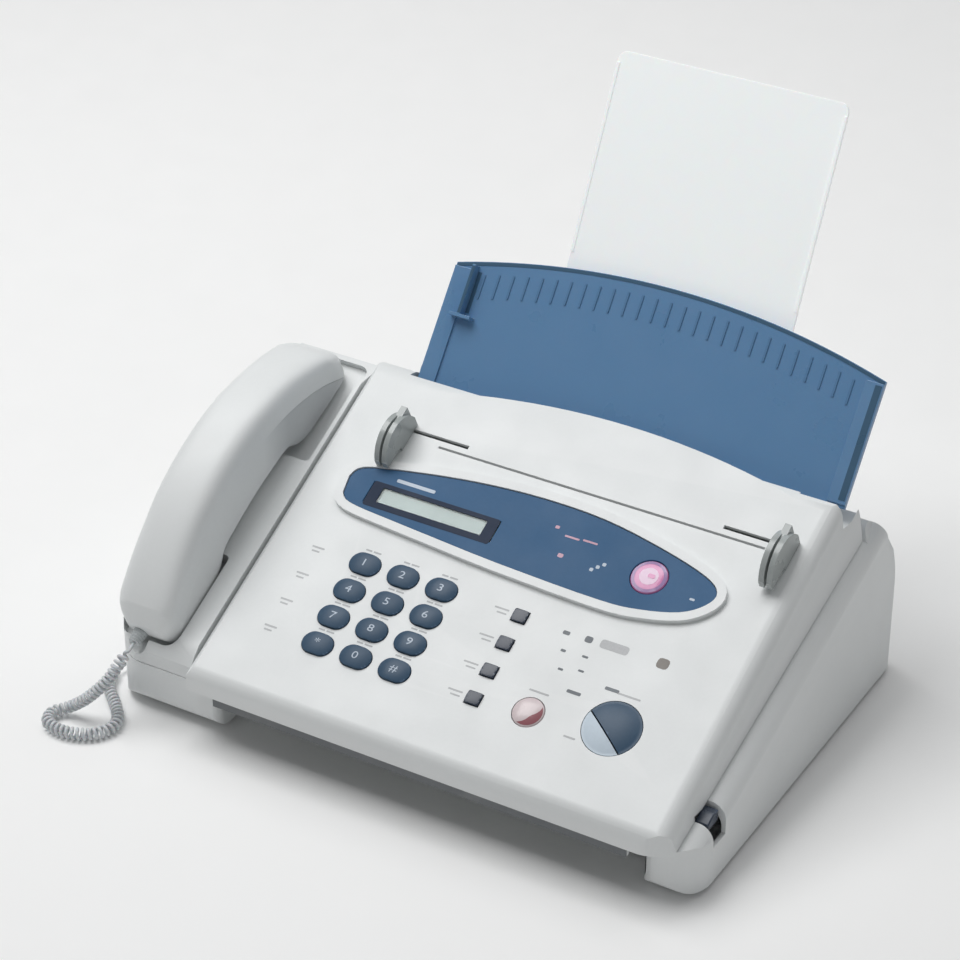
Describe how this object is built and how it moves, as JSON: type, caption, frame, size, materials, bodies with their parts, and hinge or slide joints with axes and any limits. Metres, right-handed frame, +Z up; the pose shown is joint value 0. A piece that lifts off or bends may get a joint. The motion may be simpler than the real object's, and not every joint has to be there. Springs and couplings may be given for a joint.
{
  "type": "fax machine",
  "caption": "Desktop fax machine with a hinged sloping control panel, corded handset, document guides, blue paper cover and paper support plate.",
  "frame": {"origin": "on the desk under the middle of the box round the whole machine, without its handset cord", "axes": "+X to the operator's right, +Y to the back, +Z up"},
  "size_m": [0.3909, 0.3668, 0.3118],
  "materials": {
    "shell": "satin",
    "trim_grey": "satin",
    "key_blue": "gloss",
    "cover_blue": "gloss",
    "bezel_blue": "gloss",
    "support_clear": "gloss",
    "window": "gloss",
    "lcd": "satin",
    "function_dark": "gloss",
    "stop_red": "satin",
    "copy_pale": "satin",
    "message_pink": "gloss",
    "black_plastic": "matte",
    "nylon": "matte",
    "rubber": "matte",
    "steel": "satin",
    "brass": "satin",
    "board": "satin",
    "power_board": "satin",
    "cord": "satin",
    "plug_clear": "gloss"
  },
  "bodies": {
    "base": {"base_case": "shell", "handset_cradle": "shell", "rubber_feet": "rubber", "case_screws": "steel", "side_frames": "steel", "exit_guide": "trim_grey", "print_head": "steel", "image_sensor": "black_plastic", "main_board": "board", "power_board": "power_board", "speaker": "black_plastic", "feed_motor": "steel", "line_jacks": "black_plastic", "power_inlet": "black_plastic", "handset_jack": "black_plastic", "handset_cord": "cord", "cord_plug": "plug_clear"},
    "motor_pinion": {"motor_pinion": "brass"},
    "idler_gear": {"idler_gear": "nylon"},
    "platen": {"platen_roller": "rubber", "platen_gear": "nylon"},
    "feed_roller": {"feed_roller": "rubber"},
    "supply_spool": {"supply_spool": "black_plastic"},
    "take_up_spool": {"take_up_spool": "black_plastic"},
    "hook_switch": {"hook_switch": "black_plastic"},
    "cover_latch": {"cover_latch": "function_dark"},
    "top_cover": {"top_cover": "shell", "paper_tray": "shell", "hinge_pins": "steel", "lcd_bezel": "bezel_blue", "lcd_window": "window", "lcd_module": "lcd", "panel_board": "board"},
    "guide_left": {"guide_left": "trim_grey"},
    "guide_right": {"guide_right": "trim_grey"},
    "paper_cover": {"paper_cover": "cover_blue"},
    "paper_support": {"paper_support": "support_clear"},
    "handset": {"handset_top": "shell", "handset_bottom": "shell", "handset_capsules": "black_plastic"},
    "key_1": {"key_1": "key_blue"},
    "key_2": {"key_2": "key_blue"},
    "key_3": {"key_3": "key_blue"},
    "key_4": {"key_4": "key_blue"},
    "key_5": {"key_5": "key_blue"},
    "key_6": {"key_6": "key_blue"},
    "key_7": {"key_7": "key_blue"},
    "key_8": {"key_8": "key_blue"},
    "key_9": {"key_9": "key_blue"},
    "key_star": {"key_star": "key_blue"},
    "key_0": {"key_0": "key_blue"},
    "key_hash": {"key_hash": "key_blue"},
    "function_key_1": {"function_key_1": "function_dark"},
    "function_key_2": {"function_key_2": "function_dark"},
    "function_key_3": {"function_key_3": "function_dark"},
    "function_key_4": {"function_key_4": "function_dark"},
    "stop_key": {"stop_key": "stop_red"},
    "start_key": {"start_key": "key_blue"},
    "copy_key": {"copy_key": "copy_pale"},
    "message_key": {"message_key": "message_pink"}
  },
  "joints": [
    {"name": "top_cover_hinge", "type": "hinge", "parent": "base", "child": "top_cover", "pos_m": [0, 0.07293, 0.098], "axis": [-1, 0, 0], "range_deg": [0, 45]},
    {"name": "paper_cover_tilt", "type": "hinge", "parent": "top_cover", "child": "paper_cover", "pos_m": [0, 0.05293, 0.136], "axis": [1, 0, 0], "range_deg": [0, 34]},
    {"name": "paper_support_pull", "type": "slide", "parent": "top_cover", "child": "paper_support", "axis": [0, 0.4648, 0.8854], "range_m": [0, 0.05]},
    {"name": "handset_lift", "type": "slide", "parent": "base", "child": "handset", "axis": [0, -0.4305, 0.9026], "range_m": [0, 0.12]},
    {"name": "hook_switch_press", "type": "slide", "parent": "base", "child": "hook_switch", "axis": [0, -0.4305, 0.9026], "range_m": [-0.003, 0], "stiffness_N_per_m": 100},
    {"name": "cover_latch_press", "type": "slide", "parent": "base", "child": "cover_latch", "axis": [1, 0, 0], "range_m": [-0.002, 0], "stiffness_N_per_m": 300},
    {"name": "guide_left_slide", "type": "slide", "parent": "top_cover", "child": "guide_left", "axis": [1, 0, 0], "range_m": [0, 0.036]},
    {"name": "guide_right_slide", "type": "slide", "parent": "top_cover", "child": "guide_right", "axis": [1, 0, 0], "range_m": [-0.036, 0]},
    {"name": "platen_spin", "type": "hinge", "parent": "base", "child": "platen", "pos_m": [0, -0.09307, 0.038], "axis": [1, 0, 0], "continuous": true},
    {"name": "pinion_spin", "type": "hinge", "parent": "base", "child": "motor_pinion", "pos_m": [0, -0.0761, 0.05497], "axis": [1, 0, 0], "continuous": true},
    {"name": "idler_spin", "type": "hinge", "parent": "base", "child": "idler_gear", "pos_m": [0, -0.05167, 0.06386], "axis": [1, 0, 0], "continuous": true},
    {"name": "feed_roller_spin", "type": "hinge", "parent": "base", "child": "feed_roller", "pos_m": [0, -0.02545, 0.08222], "axis": [1, 0, 0], "continuous": true},
    {"name": "take_up_spin", "type": "hinge", "parent": "base", "child": "take_up_spool", "pos_m": [0, -0.11053, 0.01741], "axis": [1, 0, 0], "continuous": true},
    {"name": "supply_spin", "type": "hinge", "parent": "base", "child": "supply_spool", "pos_m": [0, -0.06307, 0.021], "axis": [1, 0, 0], "continuous": true},
    {"name": "key_1_press", "type": "slide", "parent": "top_cover", "child": "key_1", "axis": [0, -0.4305, 0.9026], "range_m": [-0.0015, 0], "stiffness_N_per_m": 300},
    {"name": "key_2_press", "type": "slide", "parent": "top_cover", "child": "key_2", "axis": [0, -0.4305, 0.9026], "range_m": [-0.0015, 0], "stiffness_N_per_m": 300},
    {"name": "key_3_press", "type": "slide", "parent": "top_cover", "child": "key_3", "axis": [0, -0.4305, 0.9026], "range_m": [-0.0015, 0], "stiffness_N_per_m": 300},
    {"name": "key_4_press", "type": "slide", "parent": "top_cover", "child": "key_4", "axis": [0, -0.4305, 0.9026], "range_m": [-0.0015, 0], "stiffness_N_per_m": 300},
    {"name": "key_5_press", "type": "slide", "parent": "top_cover", "child": "key_5", "axis": [0, -0.4305, 0.9026], "range_m": [-0.0015, 0], "stiffness_N_per_m": 300},
    {"name": "key_6_press", "type": "slide", "parent": "top_cover", "child": "key_6", "axis": [0, -0.4305, 0.9026], "range_m": [-0.0015, 0], "stiffness_N_per_m": 300},
    {"name": "key_7_press", "type": "slide", "parent": "top_cover", "child": "key_7", "axis": [0, -0.4305, 0.9026], "range_m": [-0.0015, 0], "stiffness_N_per_m": 300},
    {"name": "key_8_press", "type": "slide", "parent": "top_cover", "child": "key_8", "axis": [0, -0.4305, 0.9026], "range_m": [-0.0015, 0], "stiffness_N_per_m": 300},
    {"name": "key_9_press", "type": "slide", "parent": "top_cover", "child": "key_9", "axis": [0, -0.4305, 0.9026], "range_m": [-0.0015, 0], "stiffness_N_per_m": 300},
    {"name": "key_star_press", "type": "slide", "parent": "top_cover", "child": "key_star", "axis": [0, -0.4305, 0.9026], "range_m": [-0.0015, 0], "stiffness_N_per_m": 300},
    {"name": "key_0_press", "type": "slide", "parent": "top_cover", "child": "key_0", "axis": [0, -0.4305, 0.9026], "range_m": [-0.0015, 0], "stiffness_N_per_m": 300},
    {"name": "key_hash_press", "type": "slide", "parent": "top_cover", "child": "key_hash", "axis": [0, -0.4305, 0.9026], "range_m": [-0.0015, 0], "stiffness_N_per_m": 300},
    {"name": "function_key_1_press", "type": "slide", "parent": "top_cover", "child": "function_key_1", "axis": [0, -0.4305, 0.9026], "range_m": [-0.0015, 0], "stiffness_N_per_m": 300},
    {"name": "function_key_2_press", "type": "slide", "parent": "top_cover", "child": "function_key_2", "axis": [0, -0.4305, 0.9026], "range_m": [-0.0015, 0], "stiffness_N_per_m": 300},
    {"name": "function_key_3_press", "type": "slide", "parent": "top_cover", "child": "function_key_3", "axis": [0, -0.4305, 0.9026], "range_m": [-0.0015, 0], "stiffness_N_per_m": 300},
    {"name": "function_key_4_press", "type": "slide", "parent": "top_cover", "child": "function_key_4", "axis": [0, -0.4305, 0.9026], "range_m": [-0.0015, 0], "stiffness_N_per_m": 300},
    {"name": "stop_key_press", "type": "slide", "parent": "top_cover", "child": "stop_key", "axis": [0, -0.4305, 0.9026], "range_m": [-0.0015, 0], "stiffness_N_per_m": 300},
    {"name": "start_key_press", "type": "slide", "parent": "top_cover", "child": "start_key", "axis": [0, -0.4305, 0.9026], "range_m": [-0.0015, 0], "stiffness_N_per_m": 300},
    {"name": "copy_key_press", "type": "slide", "parent": "top_cover", "child": "copy_key", "axis": [0, -0.4305, 0.9026], "range_m": [-0.0015, 0], "stiffness_N_per_m": 300},
    {"name": "message_key_press", "type": "slide", "parent": "top_cover", "child": "message_key", "axis": [0, -0.4305, 0.9026], "range_m": [-0.0015, 0], "stiffness_N_per_m": 300}
  ],
  "couplings": [
    {"joint": "guide_right_slide", "follows": "guide_left_slide", "ratio": -1},
    {"joint": "pinion_spin", "follows": "platen_spin", "ratio": -3},
    {"joint": "idler_spin", "follows": "platen_spin", "ratio": 0.9},
    {"joint": "feed_roller_spin", "follows": "platen_spin", "ratio": -1.5},
    {"joint": "take_up_spin", "follows": "platen_spin", "ratio": -2},
    {"joint": "supply_spin", "follows": "platen_spin", "ratio": -0.69231}
  ]
}
